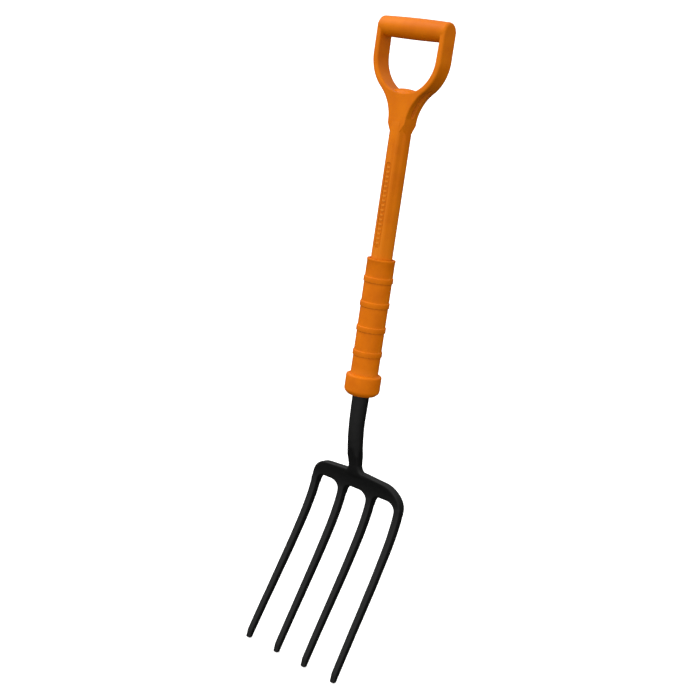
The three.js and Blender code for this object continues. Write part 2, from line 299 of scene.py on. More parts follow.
def makeBar():
    g = grip
    end = g["halfWidth"]
    inside = end - g["barEdge"]
    cap = []
    for degrees in (0, 22, 45, 68, 90):
        turn = math.radians(degrees)
        capRadius = g["barEndRadius"] - g["barEdge"] * (1 - math.sin(turn))
        cap.append((end - g["barEdge"] * (1 - math.cos(turn)), capRadius))
    barrel = []
    for step in range(g["barSteps"] - 1, -g["barSteps"], -1):
        share = step / g["barSteps"]
        barrel.append((inside * share, g["barRadius"] - (g["barRadius"] - g["barEndRadius"]) * share ** 2))
    stations = cap + barrel + [(-x, r) for x, r in reversed(cap)]
    x, radius = stations[0]
    place = at(x, g["setBack"], g["barHeight"])
    bpy.ops.mesh.primitive_circle_add(
        vertices=g["barSides"], radius=radius * mm, fill_type="NGON", location=place,
        rotation=(0, math.pi / 2, 0),
    )
    piece = settle(bpy.context.object)
    startEdit(piece)
    bpy.ops.mesh.select_all(action="SELECT")
    for nextX, nextRadius in stations[1:]:
        growth = nextRadius / radius
        nextPlace = at(nextX, g["setBack"], g["barHeight"])
        pushOn(place, nextPlace, (1, growth, growth))
        place, radius = nextPlace, nextRadius
    endEdit()
    return outward(piece)


# Half the yoke's width, half its depth, and how far back its middle lies, at a height
def yokeSection(height):
    g = grip
    squareX, squareY = g["squareHalf"]
    filletX, filletHeight = yokeFillet()
    rise = max(0, height - filletHeight)
    share = min(1, max(0, (height - g["squareBottom"]) / g["deepenOver"]))
    halfX = filletX - math.sqrt(g["filletRadius"] ** 2 - rise ** 2) + squareX - g["yokeHalf"]
    halfY = squareY + (g["depth"] / 2 - squareY) * share
    return halfX, halfY, g["setBack"] * share


def squareLoop(height):
    halfX, halfY, back = yokeSection(height)
    place = at(0, back, height)
    bpy.ops.mesh.primitive_plane_add(size=mm, location=place)
    piece = bpy.context.object
    startEdit(piece)
    bpy.ops.mesh.select_all(action="SELECT")
    bpy.ops.transform.resize(value=(2 * halfX, 2 * halfY, 1), center_override=place)
    bpy.ops.mesh.bevel(offset=grip["squareEdge"] * mm, segments=4, affect="VERTICES")
    return piece


def makeYoke():
    g = grip
    height = g["squareBottom"]
    piece = squareLoop(height)
    halfX, halfY, back = yokeSection(height)
    rise = g["yokeTop"] - g["squareBottom"]
    for step in range(1, g["yokeSteps"] + 1):
        nextHeight = g["squareBottom"] + rise * step / g["yokeSteps"]
        nextX, nextY, nextBack = yokeSection(nextHeight)
        pushOn(at(0, back, height), at(0, nextBack, nextHeight), (nextX / halfX, nextY / halfY, 1))
        height, halfX, halfY, back = nextHeight, nextX, nextY, nextBack
    endEdit()
    return outward(piece)


def makePocketCutter(side):
    g = grip
    tilt = math.radians(g["pocketTilt"])
    share, middleX, middleY = g["pocketMiddle"]
    floorX, floorY = g["pocketFloor"]
    outer = Vector((0, 0, g["pocketOuter"] * mm))
    mouth = Vector((0, 0, 0))
    floor = Vector((0, 0, -g["pocketReach"] * mm))
    bpy.ops.mesh.primitive_circle_add(vertices=64, radius=mm, fill_type="NGON", location=mouth)
    piece = bpy.context.object
    startEdit(piece)
    bpy.ops.mesh.select_all(action="SELECT")
    bpy.ops.transform.resize(value=(*g["pocketHalf"], 1), center_override=mouth)
    bpy.ops.transform.translate(value=outer)
    pushOn(outer, mouth, (1, 1, 1))
    pushOn(mouth, floor * share, (middleX, middleY, 1))
    pushOn(floor * share, floor, (floorX / middleX, floorY / middleY, 1))
    endEdit()
    # turned to face out and down, square to the fillet's surface
    piece.rotation_euler = (0, math.pi - side * tilt, 0)
    piece.location = at(side * g["pocketX"], g["setBack"], g["pocketHeight"])
    return outward(piece)


def makeHandOpening():
    g = grip
    bpy.ops.mesh.primitive_cylinder_add(
        vertices=180, radius=g["innerRadius"] * mm, depth=g["openingDepth"] * mm,
        location=at(0, 0, g["centre"]), rotation=(math.pi / 2, 0, 0),
    )
    return settle(bpy.context.object)


def makeHump():
    g = grip
    bpy.ops.mesh.primitive_uv_sphere_add(
        segments=48, ring_count=24, radius=mm, location=at(0, 0, g["humpHeight"]), scale=g["humpHalf"]
    )
    return outward(bpy.context.object)


# Plain raised bars in a sunk panel stand in for the real tool's moulded lettering
marking = {
    "low": 693, "high": 830, "halfWidth": 5.3, "sunk": 0.6, "endFlat": 0.3, "cutterDepth": 8,
    "bars": 17, "barSize": (7.4, 3.2), "barDepth": 14, "barMiddle": -12, "raised": 0.5, "margin": 8,
    "rodSides": 128, "rodLength": 300,
}


def makePanelCutter():
    m = marking
    bpy.ops.mesh.primitive_cube_add(
        size=mm, location=at(0, -grip["shaftRadius"], (m["low"] + m["high"]) / 2),
        scale=(2 * m["halfWidth"], m["cutterDepth"], m["high"] - m["low"]),
    )
    cutter = settle(bpy.context.object)
    startEdit(cutter)

    def endCorner(edge):
        a, b = edge.verts
        return abs(a.co.x - b.co.x) < slack and (onLevel(edge, m["low"]) or onLevel(edge, m["high"]))

    pick(cutter, "EDGE", endCorner)
    bpy.ops.mesh.bevel(offset=(m["halfWidth"] - m["endFlat"]) * mm, segments=8, profile=0.5)
    endEdit()
    outward(cutter)
    floorRadius = grip["shaftRadius"] - m["sunk"]
    trimWith(cutter, floorRadius)
    firstBar = m["low"] + m["margin"]
    spacing = (m["high"] - m["low"] - 2 * m["margin"]) / (m["bars"] - 1)
    width, height = m["barSize"]
    for i in range(m["bars"]):
        bpy.ops.mesh.primitive_cylinder_add(
            vertices=24, radius=mm / 2, depth=m["barDepth"] * mm,
            location=at(0, m["barMiddle"], firstBar + i * spacing), rotation=(math.pi / 2, 0, 0),
        )
        bar = bpy.context.object
        startEdit(bar)
        bpy.ops.mesh.select_all(action="SELECT")
        bpy.ops.transform.resize(value=(width, 1, height), center_override=bar.location)
        endEdit()
        settle(bar)
        keepWithin(bar, floorRadius + m["raised"])
        cutAway(cutter, bar)
        discard(bar)
    return cutter


def shaftRod(radius):
    m = marking
    bpy.ops.mesh.primitive_cylinder_add(
        vertices=m["rodSides"], radius=radius * mm, depth=m["rodLength"] * mm,
        location=at(0, 0, (m["low"] + m["high"]) / 2),
    )
    return settle(bpy.context.object)


def trimWith(piece, radius):
    rod = shaftRod(radius)
    cutAway(piece, rod)
    discard(rod)


def keepWithin(piece, radius):
    rod = shaftRod(radius)
    applyModifier(piece, "BOOLEAN", object=rod, operation="INTERSECT", solver="EXACT")
    discard(rod)


def onLevel(part, height):
    z = at(0, 0, height).z
    return all(abs(v.co.z - z) < slack for v in part.verts)


# Takes away what lies outside a plane, in edit mode
def cutOff(point, outside):
    bpy.ops.mesh.select_all(action="SELECT")
    bpy.ops.mesh.bisect(plane_co=point, plane_no=outside.normalized(), use_fill=True, clear_outer=True)


# The square foot of the yoke: its corners run out on the round shaft in four slanting flats
def makeYokeFoot():
    g = grip
    low = g["roundTop"] - g["footLap"]
    foot = squareLoop(low)
    halfX, halfY = yokeSection(g["squareBottom"])[:2]
    seamX, seamY, seamBack = yokeSection(g["seamHeight"])
    pushOn(at(0, 0, low), at(0, 0, g["squareBottom"]), (1, 1, 1))
    pushOn(at(0, 0, g["squareBottom"]), at(0, seamBack, g["seamHeight"]), (seamX / halfX, seamY / halfY, 1))
    reach = (halfX + halfY - g["squareEdge"] - g["shaftRadius"]) / math.sqrt(2)
    slope = (g["squareBottom"] - g["roundTop"]) / reach / math.sqrt(2)
    for sideX in (1, -1):
        for sideY in (1, -1):
            cutOff(at(sideX * g["shaftRadius"], 0, g["roundTop"]), Vector((sideX * slope, sideY * slope, -1)))
    endEdit()
    return outward(foot)


def makeShaft():
    g = grip
    profile = [
        (g["boreRadius"], g["bottom"]), (g["spigotRadius"], g["bottom"]), (g["spigotRadius"], g["spigotTop"]),
        (g["shaftRadius"], g["spigotTop"]), (g["shaftRadius"], g["shaftTop"]),
    ]
    piece = turnOnShaft("shaft", profile, g["shaftSides"], closed=False)
    startEdit(piece)
    pick(piece, "EDGE", lambda edge: edge.is_boundary and onLevel(edge, g["shaftTop"]))
    bpy.ops.mesh.edge_face_add()
    pick(piece, "EDGE", lambda edge: edge.is_boundary and onLevel(edge, g["bottom"]))
    pushOn(at(0, 0, g["bottom"]), at(0, 0, g["boreTop"]), (1, 1, 1))
    bpy.ops.mesh.edge_face_add()
    bpy.ops.mesh.select_all(action="SELECT")
    bpy.ops.mesh.normals_make_consistent(inside=False)
    endEdit()
    foot = makeYokeFoot()
    applyModifier(piece, "BOOLEAN", object=foot, operation="UNION", solver="EXACT")
    discard(foot)
    # the front and back of the shaft are drawn in to the yoke's thickness
    seamY, seamBack = yokeSection(g["seamHeight"])[1:]
    startEdit(piece)
    for side in (1, -1):
        drawnIn = g["shaftRadius"] - seamY - side * seamBack
        outside = Vector((0, side * (g["seamHeight"] - g["roundTop"]), drawnIn))
        cutOff(at(0, side * g["shaftRadius"], g["roundTop"]), outside)
    endEdit()
    cutter = makePanelCutter()
    cutAway(piece, cutter)
    discard(cutter)
    startEdit(piece)
    pick(piece, "FACE", lambda face: onLevel(face, g["seamHeight"]))
    bpy.ops.mesh.delete(type="ONLY_FACE")
    endEdit()
    return piece


def makeHandle():
    g = grip
    ring = makeRing()
    bar = makeBar()
    yoke = makeYoke()
    opening = makeHandOpening()
    cutAway(yoke, opening)
    discard(opening)
    piece = joinPieces("moulded_handle", [yoke, ring, bar, makeHump()])
    factor, iterations = g["smoothing"]
    applyModifier(piece, "REMESH", mode="VOXEL", voxel_size=g["voxel"] * mm)
    applyModifier(piece, "SMOOTH", factor=factor, iterations=iterations)
    for side in (1, -1):
        cutter = makePocketCutter(side)
        cutAway(piece, cutter)
        discard(cutter)
    seam = at(0, 0, g["seamHeight"] + g["seamGap"])
    startEdit(piece)
    bpy.ops.mesh.select_all(action="SELECT")
    bpy.ops.mesh.bisect(plane_co=seam, plane_no=(0, 0, 1), clear_inner=True)
    endEdit()
    piece = joinPieces("moulded_handle", [piece, makeShaft()])
    startEdit(piece)
    pick(piece, "EDGE", lambda edge: edge.is_boundary)
    bpy.ops.mesh.bridge_edge_loops()
    bpy.ops.mesh.select_all(action="SELECT")
    bpy.ops.mesh.normals_make_consistent(inside=False)
    endEdit()
    softenAll(piece, g["crease"])
    return piece


# The tines, the crosshead, the neck and the socket are one forging
head = {
    "pitch": 63, "inset": 1.9, "splay": 4.5, "tineTop": 274, "tineEdge": 1.8, "shortestRun": 4,
    "rootWidth": 12.4, "tipWidth": 9.9, "rootDepth": 14.2, "tipDepth": 11,
    "tineHeights": [264, 252, 240, 228, 214, 200, 186, 170, 150, 130, 110, 90, 70, 50, 30],
    "tipBevel": 11, "tipMiddle": 6, "tipBottom": -2.2, "tipEdge": 7,
    "thickness": 15.8, "halfWidth": 98.2, "setBack": 1.2,
    "treadHeight": 314.2, "treadFall": 2.8, "treadInner": 20, "treadOuter": 58,
    "shoulder": 39, "shoulderShape": 0.5, "beamBottom": 262, "beamEdge": 2.4, "beamSlice": 3,
    "gapTop": 282.2, "gapCorner": 16.5, "gapCutter": 60,
    "line": [
        (-84.9, 0), (-61.8, 50), (-33.2, 110), (-5.5, 170), (18.4, 230), (27, 275),
        (13.1, 325), (4.6, 361), (0.3, 397), (0, 425), (0, 470),
    ],
    "waist": (325, 11.4, 7.6), "neckCorner": 4.4, "neckTop": 452,
    "flare": [(319.5, 12.4, 7.5), (315.5, 15, 7.5), (311, 20.5, 7.4), (306, 27, 7.2)],
    "rise": [(334, 11.7, 8.5), (343, 12.3, 9.6)],
    "neck": [
        (358, 13.7, 12.4), (372, 13.5, 12.9), (388, 13.3, 13.2), (404, 13.4, 13.4),
        (418, 13.7, 13.7), (434, 14, 14), (456, 14.2, 14.2),
    ],
    "socket": [
        (14.1, 452.8), (14.6, 457), (17.6, 485), (17.6, 600), (15.5, 600), (15.5, 474), (11.5, 463),
    ],
    "voxel": 1.15, "smoothing": (0.5, 6), "crease": 45,
}


# Where the middle of the forging lies, front to back, at a height: a smooth line through the listed points
def lineY(height):
    points = head["line"]
    i = max(k for k in range(len(points) - 1) if points[k][1] <= max(height, 0))
    (y0, h0), (y1, h1) = points[i], points[i + 1]

    def slope(k):
        a, b = points[max(k - 1, 0)], points[min(k + 1, len(points) - 1)]
        return (b[0] - a[0]) / (b[1] - a[1])

    span = h1 - h0
    t = (height - h0) / span
    return (
        (2 * t ** 3 - 3 * t ** 2 + 1) * y0 + (t ** 3 - 2 * t ** 2 + t) * span * slope(i)
        + (3 * t ** 2 - 2 * t ** 3) * y1 + (t ** 3 - t ** 2) * span * slope(i + 1)
    )


def makeTine(index):
    h = head
    side = index - 1.5
    outer = abs(side) > 1
    heights = [h["tineTop"]] + h["tineHeights"] + [h["tipBevel"], h["tipMiddle"], h["tipBottom"]]

    def station(height):
        up = height / h["tineTop"]
        lean = (lineY(height + 1) - lineY(height - 1)) / 2
        lengthen = math.sqrt(1 + lean ** 2)
        depth = (h["tipDepth"] + (h["rootDepth"] - h["tipDepth"]) * up)
        bevel = min(1, max(0, 1 - height / h["tipBevel"])) * (depth - h["tipEdge"])
        spread = h["splay"] * (1 - up) - h["inset"] if outer else 0
        x = math.copysign(abs(side) * h["pitch"] + spread, side)
        width = h["tipWidth"] + (h["rootWidth"] - h["tipWidth"]) * up
        return at(x, lineY(height) + bevel * lengthen / 2, height), width, (depth - bevel) * lengthen

    place, width, depth = station(heights[0])
    bpy.ops.mesh.primitive_plane_add(size=mm, location=place)
    piece = bpy.context.object
    startEdit(piece)
    bpy.ops.mesh.select_all(action="SELECT")
    bpy.ops.transform.resize(value=(width, depth, 1), center_override=place)
    for height in heights[1:]:
        nextPlace, nextWidth, nextDepth = station(height)
        pushOn(place, nextPlace, (nextWidth / width, nextDepth / depth, 1))
        place, width, depth = nextPlace, nextWidth, nextDepth
    endEdit()
    outward(piece)
    startEdit(piece)

    def runsDown(edge):
        a, b = edge.verts
        return abs(a.co.z - b.co.z) > h["shortestRun"] * mm

    pick(piece, "EDGE", runsDown)
    bpy.ops.mesh.bevel(offset=h["tineEdge"] * mm, segments=3)
    endEdit()
    return outward(piece)


def makeBeam():
    h = head
    tall = h["treadHeight"] - h["beamBottom"]
    bpy.ops.mesh.primitive_cube_add(
        size=mm, location=at(0, 0, h["beamBottom"] + tall / 2),
        scale=(2 * h["halfWidth"], h["thickness"], tall),
    )
    piece = settle(bpy.context.object)
    startEdit(piece)
    for x in (-h["treadOuter"], -h["treadInner"], h["treadInner"], h["treadOuter"]):
        bpy.ops.mesh.select_all(action="SELECT")
        bpy.ops.mesh.bisect(plane_co=at(x, 0, 0), plane_no=(1, 0, 0))
    top = at(0, 0, h["treadHeight"]).z
    shoulderZ = top - h["treadFall"] * mm

    def outOnTop(vertex):
        return abs(vertex.co.x) > h["treadInner"] * mm + slack and abs(vertex.co.z - top) < slack

    def shoulderEdge(edge):
        return all(
            abs(abs(v.co.x) - h["halfWidth"] * mm) < slack and abs(v.co.z - shoulderZ) < slack
            for v in edge.verts
        )

    pick(piece, "VERT", outOnTop)
    bpy.ops.transform.translate(value=(0, 0, -h["treadFall"] * mm))
    pick(piece, "EDGE", shoulderEdge)
    bpy.ops.mesh.bevel(offset=h["shoulder"] * mm, segments=16, profile=h["shoulderShape"])
    endEdit()
    for gap in (-1, 0, 1):
        cutter = makeGapCutter(gap)
        cutAway(piece, cutter)
        discard(cutter)
    startEdit(piece)
    halfDepth = h["thickness"] / 2 * mm

    def outlineEdge(edge):
        return (
            all(abs(abs(v.co.y - axisY * mm) - halfDepth) < slack for v in edge.verts)
            and len(edge.link_faces) == 2 and edge.calc_face_angle(0) > math.radians(40)
        )

    pick(piece, "EDGE", outlineEdge)
    bpy.ops.mesh.bevel(offset=h["beamEdge"] * mm, segments=3)
    height = h["beamBottom"] + h["beamSlice"]
    while height < h["treadHeight"]:
        bpy.ops.mesh.select_all(action="SELECT")
        bpy.ops.mesh.bisect(plane_co=at(0, 0, height), plane_no=(0, 0, 1))
        height += h["beamSlice"]
    endEdit()
    # each slice follows the forging's line
    for vertex in piece.data.vertices:
        vertex.co.y += (lineY(vertex.co.z / mm - tipLevel) + h["setBack"]) * mm
    return piece


def makeGapCutter(gap):
    h = head
    halfGap = (h["pitch"] - h["rootWidth"]) / 2 - abs(gap) * h["inset"] / 2
    middle = gap * (h["pitch"] - h["inset"] / 2)
    size = h["gapCutter"]
    bpy.ops.mesh.primitive_cube_add(
        size=mm, location=at(middle, 0, h["gapTop"] - size / 2), scale=(2 * halfGap, size, size)
    )
    piece = settle(bpy.context.object)
    startEdit(piece)

    def topCorner(edge):
        a, b = edge.verts
        return onLevel(edge, h["gapTop"]) and abs(a.co.x - b.co.x) < slack

    pick(piece, "EDGE", topCorner)
    bpy.ops.mesh.bevel(offset=h["gapCorner"] * mm, segments=10, profile=0.5)
    endEdit()
    return outward(piece)


def makeNeck():
    h = head
    startHeight, startX, startY = h["waist"]
    start = at(0, lineY(startHeight), startHeight)
    bpy.ops.mesh.primitive_plane_add(size=mm, location=start)
    lower = bpy.context.object
    startEdit(lower)
    bpy.ops.mesh.select_all(action="SELECT")
    bpy.ops.transform.resize(value=(2 * startX, 2 * startY, 1), center_override=start)
    bpy.ops.mesh.bevel(offset=h["neckCorner"] * mm, segments=5, affect="VERTICES")

    def waistFace(face):
        return abs(face.calc_center_median().z) < slack and len(face.verts) > 4

    for sections in (h["flare"], h["rise"]):
        place, halfX, halfY = start, startX, startY
        pick(lower, "FACE", waistFace)
        for nextHeight, nextX, nextY in sections:
            nextPlace = at(0, lineY(nextHeight), nextHeight)
            pushOn(place, nextPlace, (nextX / halfX, nextY / halfY, 1))
            place, halfX, halfY = nextPlace, nextX, nextY
    bpy.ops.mesh.delete(type="ONLY_FACE")
    endEdit()
    settle(lower)
    lowRim = place.z
    height, halfX, halfY = h["neck"][0]
    place = at(0, lineY(height), height)
    bpy.ops.mesh.primitive_circle_add(vertices=48, radius=mm, fill_type="NOTHING", location=place)
    upper = bpy.context.object
    highRim = place.z
    startEdit(upper)
    bpy.ops.mesh.select_all(action="SELECT")
    bpy.ops.transform.resize(value=(halfX, halfY, 1), center_override=place)
    for nextHeight, nextX, nextY in h["neck"][1:]:
        nextPlace = at(0, lineY(nextHeight), nextHeight)
        pushOn(place, nextPlace, (nextX / halfX, nextY / halfY, 1))
        place, halfX, halfY = nextPlace, nextX, nextY
    bpy.ops.mesh.edge_face_add()
    endEdit()
    settle(upper)
    piece = joinPieces("neck", [lower, upper])

    def rimEdge(edge):
        z = edge.verts[0].co.z
        return edge.is_boundary and min(abs(z - lowRim), abs(z - highRim)) < slack

    startEdit(piece)
    pick(piece, "EDGE", rimEdge)
    bpy.ops.mesh.bridge_edge_loops()
    endEdit()
    return outward(piece)


def makeHead():
    h = head
    piece = joinPieces("forged_head", [makeBeam(), makeNeck()] + [makeTine(i) for i in range(4)])
    factor, iterations = h["smoothing"]
    applyModifier(piece, "REMESH", mode="VOXEL", voxel_size=h["voxel"] * mm)
    applyModifier(piece, "SMOOTH", factor=factor, iterations=iterations)
    startEdit(piece)
    bpy.ops.mesh.select_all(action="SELECT")
    bpy.ops.mesh.bisect(plane_co=at(0, 0, h["neckTop"]), plane_no=(0, 0, 1), clear_outer=True)
    endEdit()
    socket = turnOnShaft("socket", h["socket"], 96, closed=False)
    floorHeight = h["socket"][-1][1]
    startEdit(socket)
    pick(socket, "EDGE", lambda edge: edge.is_boundary and onLevel(edge, floorHeight))
    bpy.ops.mesh.edge_face_add()
    endEdit()
    piece = joinPieces("forged_head", [piece, socket])
    startEdit(piece)
    pick(piece, "EDGE", lambda edge: edge.is_boundary)
    bpy.ops.mesh.bridge_edge_loops()
    bpy.ops.mesh.select_all(action="SELECT")
    bpy.ops.mesh.normals_make_consistent(inside=False)
    endEdit()
    softenAll(piece, h["crease"])
    return piece


def linear(hexColour):
    values = [int(hexColour[i:i + 2], 16) / 255 for i in (1, 3, 5)]
    return [v / 12.92 if v <= 0.04045 else ((v + 0.055) / 1.055) ** 2.4 for v in values] + [1]


def startMaterial(name):
    material = bpy.data.materials.new(name)
    material.use_nodes = True
    nodes = material.node_tree.nodes
    return material, nodes["Principled BSDF"]


# Adds one node: its settings, its fixed inputs, and its links from other nodes' outputs
def addNode(material, kind, settings=None, inputs=None, links=None):
    node = material.node_tree.nodes.new(kind)
    for name, value in (settings or {}).items():
        setattr(node, name, value)
    for name, value in (inputs or {}).items():
        node.inputs[name].default_value = value
    for name, source in (links or {}).items():
        material.node_tree.links.new(source, node.inputs[name])
    return node


def linkShader(material, shader, colour, roughness, normal):
    for name, source in (("Base Color", colour), ("Roughness", roughness), ("Normal", normal)):
        material.node_tree.links.new(source, shader.inputs[name])


# A satin injection moulding: spark-textured tool skin, slow clouding of the pigment, dark specks of dirt,
# painted shade in the hollows and creases, and edges painted paler, partly polish from handling and partly
# painted highlight. The skin's grain is drawn coarser than the real 0.1 mm.
mouldedHandle = {
    "pigment": ("#d57100", "#cb6700"), "rubAndHighlight": "#dc8020", "dirtAndShade": "#a04c00", "ior": 1.49, "gloss": 0.09,
    "cloud": 34, "speck": 2.2, "grain": 0.9, "grainDepth": 0.035, "sag": 16, "sagDepth": 0.12,
    "scratch": (1.1, 26), "roughness": (0.34, 0.46),
}
mouldedSleeve = dict(
    mouldedHandle, pigment=("#d87000", "#ce6800"), roughness=(0.38, 0.5), grain=0.7, cloud=22
)


def makeMoulding(name, finish):
    material, shader = startMaterial(name)
    f = finish
    place = addNode(material, "ShaderNodeTexCoord").outputs["Object"]
    cloud = addNode(
        material, "ShaderNodeTexNoise", inputs={"Scale": metre / f["cloud"], "Detail": 3},
        links={"Vector": place},
    )
    cloudy = addNode(
        material, "ShaderNodeMapRange", inputs={"From Min": 0.35, "From Max": 0.65},
        links={"Value": cloud.outputs["Fac"]},
    )
    pigment = addNode(
        material, "ShaderNodeMix", {"data_type": "RGBA"},
        {"A": linear(f["pigment"][0]), "B": linear(f["pigment"][1])}, {"Factor": cloudy.outputs["Result"]},
    )
    speck = addNode(
        material, "ShaderNodeTexNoise", inputs={"Scale": metre / f["speck"], "Detail": 2},
        links={"Vector": place},
    )
    specks = addNode(
        material, "ShaderNodeMapRange", inputs={"From Min": 0.62, "From Max": 0.8, "To Max": 0.22},
        links={"Value": speck.outputs["Fac"]},
    )
    shape = addNode(material, "ShaderNodeNewGeometry").outputs["Pointiness"]
    # painted shade: hollows and creases, such as the step under each ring, are darkened with the dark orange
    # of the dirt specks
    hollowShade = addNode(
        material, "ShaderNodeMapRange", inputs={"From Min": 0.475, "From Max": 0.42, "To Max": 0.45},
        links={"Value": shape},
    )
    # painted highlight: convex edges such as the rings' top edges are lightened, partly handling polish and
    # partly painted highlight
    edge = addNode(
        material, "ShaderNodeMapRange", inputs={"From Min": 0.53, "From Max": 0.57, "To Max": 0.85},
        links={"Value": shape},
    )
    # the dirt specks and the painted shade of the hollows share one mask
    specksAndShade = addNode(material, "ShaderNodeMath", {"operation": "MAXIMUM"})
    material.node_tree.links.new(specks.outputs["Result"], specksAndShade.inputs[0])
    material.node_tree.links.new(hollowShade.outputs["Result"], specksAndShade.inputs[1])
    speckledAndShaded = addNode(
        material, "ShaderNodeMix", {"data_type": "RGBA"}, {"B": linear(f["dirtAndShade"])},
        {"Factor": specksAndShade.outputs["Value"], "A": pigment.outputs["Result"]},
    )
    rubbedAndHighlit = addNode(
        material, "ShaderNodeMix", {"data_type": "RGBA"}, {"B": linear(f["rubAndHighlight"])},
        {"Factor": edge.outputs["Result"], "A": speckledAndShaded.outputs["Result"]},
    )
    across, along = (metre / size for size in f["scratch"])
    stretch = addNode(
        material, "ShaderNodeMapping", inputs={"Scale": (across, across, along)}, links={"Vector": place}
    )
    scratch = addNode(
        material, "ShaderNodeTexNoise", inputs={"Scale": 1, "Detail": 4},
        links={"Vector": stretch.outputs["Vector"]},
    )
    rough = addNode(
        material, "ShaderNodeMapRange",
        inputs={"From Min": 0.3, "From Max": 0.7, "To Min": f["roughness"][0], "To Max": f["roughness"][1]},
        links={"Value": scratch.outputs["Fac"]},
    )
    grain = addNode(
        material, "ShaderNodeTexNoise", inputs={"Scale": metre / f["grain"], "Detail": 2},
        links={"Vector": place},
    )
    sag = addNode(
        material, "ShaderNodeTexNoise", inputs={"Scale": metre / f["sag"], "Detail": 1},
        links={"Vector": place},
    )
    wavy = addNode(
        material, "ShaderNodeBump", inputs={"Distance": f["sagDepth"] * mm},
        links={"Height": sag.outputs["Fac"]},
    )
    skin = addNode(
        material, "ShaderNodeBump", inputs={"Distance": f["grainDepth"] * mm},
        links={"Height": grain.outputs["Fac"], "Normal": wavy.outputs["Normal"]},
    )
    linkShader(material, shader, rubbedAndHighlit.outputs["Result"], rough.outputs["Result"], skin.outputs["Normal"])
    shader.inputs["IOR"].default_value = f["ior"]
    shader.inputs["Specular IOR Level"].default_value = f["gloss"]
    return material


# Stoved black paint over a hammer-forged head: the hammer's shallow hollows show through a thin satin
# coat, edges are painted grey, partly rubbed wear and partly painted glints, and long drags follow the tines.
forgedPaint = {
    "coat": ("#080808", "#0d0d0c"), "rubAndHighlight": "#5a5a57", "dust": "#1b1a18", "ior": 1.42, "gloss": 0.3,
    "cloud": 26, "hammer": 7, "hammerDepth": 0.22, "peel": 1.1, "peelDepth": 0.04,
    "drag": (1.3, 40), "roughness": (0.36, 0.55),
}


def makePaint():
    material, shader = startMaterial("satin black stoving paint on forged steel")
    f = forgedPaint
    place = addNode(material, "ShaderNodeTexCoord").outputs["Object"]
    cloud = addNode(
        material, "ShaderNodeTexNoise", inputs={"Scale": metre / f["cloud"], "Detail": 4},
        links={"Vector": place},
    )
    coat = addNode(
        material, "ShaderNodeMix", {"data_type": "RGBA"},
        {"A": linear(f["coat"][0]), "B": linear(f["coat"][1])}, {"Factor": cloud.outputs["Fac"]},
    )
    across, along = (metre / size for size in f["drag"])
    stretch = addNode(
        material, "ShaderNodeMapping", inputs={"Scale": (across, across, along)}, links={"Vector": place}
    )
    drag = addNode(
        material, "ShaderNodeTexNoise", inputs={"Scale": 1, "Detail": 5},
        links={"Vector": stretch.outputs["Vector"]},
    )
    drags = addNode(
        material, "ShaderNodeMapRange", inputs={"From Min": 0.6, "From Max": 0.75, "To Max": 0.35},
        links={"Value": drag.outputs["Fac"]},
    )
    dusty = addNode(
        material, "ShaderNodeMix", {"data_type": "RGBA"}, {"B": linear(f["dust"])},
        {"Factor": drags.outputs["Result"], "A": coat.outputs["Result"]},
    )
    shape = addNode(material, "ShaderNodeNewGeometry").outputs["Pointiness"]
    # painted glints: convex edges are lightened to grey, partly rubbed wear and partly painted glints
    edge = addNode(
        material, "ShaderNodeMapRange", inputs={"From Min": 0.54, "From Max": 0.62, "To Max": 0.6},
        links={"Value": shape},
    )
    rubbedAndHighlit = addNode(
        material, "ShaderNodeMix", {"data_type": "RGBA"}, {"B": linear(f["rubAndHighlight"])},
        {"Factor": edge.outputs["Result"], "A": dusty.outputs["Result"]},
    )
    rough = addNode(
        material, "ShaderNodeMapRange",
        inputs={"From Min": 0.3, "From Max": 0.7, "To Min": f["roughness"][0], "To Max": f["roughness"][1]},
        links={"Value": drag.outputs["Fac"]},
    )
    hammer = addNode(
        material, "ShaderNodeTexVoronoi", {"feature": "SMOOTH_F1"}, {"Scale": metre / f["hammer"]},
        {"Vector": place},
    )
    hammered = addNode(
        material, "ShaderNodeBump", inputs={"Distance": f["hammerDepth"] * mm},
        links={"Height": hammer.outputs["Distance"]},
    )
    peel = addNode(
        material, "ShaderNodeTexNoise", inputs={"Scale": metre / f["peel"], "Detail": 2},
        links={"Vector": place},
    )
    peeled = addNode(
        material, "ShaderNodeBump", inputs={"Distance": f["peelDepth"] * mm},
        links={"Height": peel.outputs["Fac"], "Normal": hammered.outputs["Normal"]},
    )
    linkShader(material, shader, rubbedAndHighlit.outputs["Result"], rough.outputs["Result"], peeled.outputs["Normal"])
    shader.inputs["IOR"].default_value = f["ior"]
    shader.inputs["Specular IOR Level"].default_value = f["gloss"]
    return material


# Pultruded glass fibre: long rovings in pale green resin, seen as streaks along the rod
glassFibre = {
    "resin": ("#c9cfa6", "#a9b486"), "roving": (0.8, 60), "roughness": (0.3, 0.5), "grooveDepth": 0.03,
}
# Bright zinc on a headed steel pin: a fine even spangle, dulled by handling
zincSteel = {"plate": ("#c3c7cc", "#9ea3a8"), "spangle": 0.9, "roughness": (0.28, 0.5), "spangleDepth": 0.02}


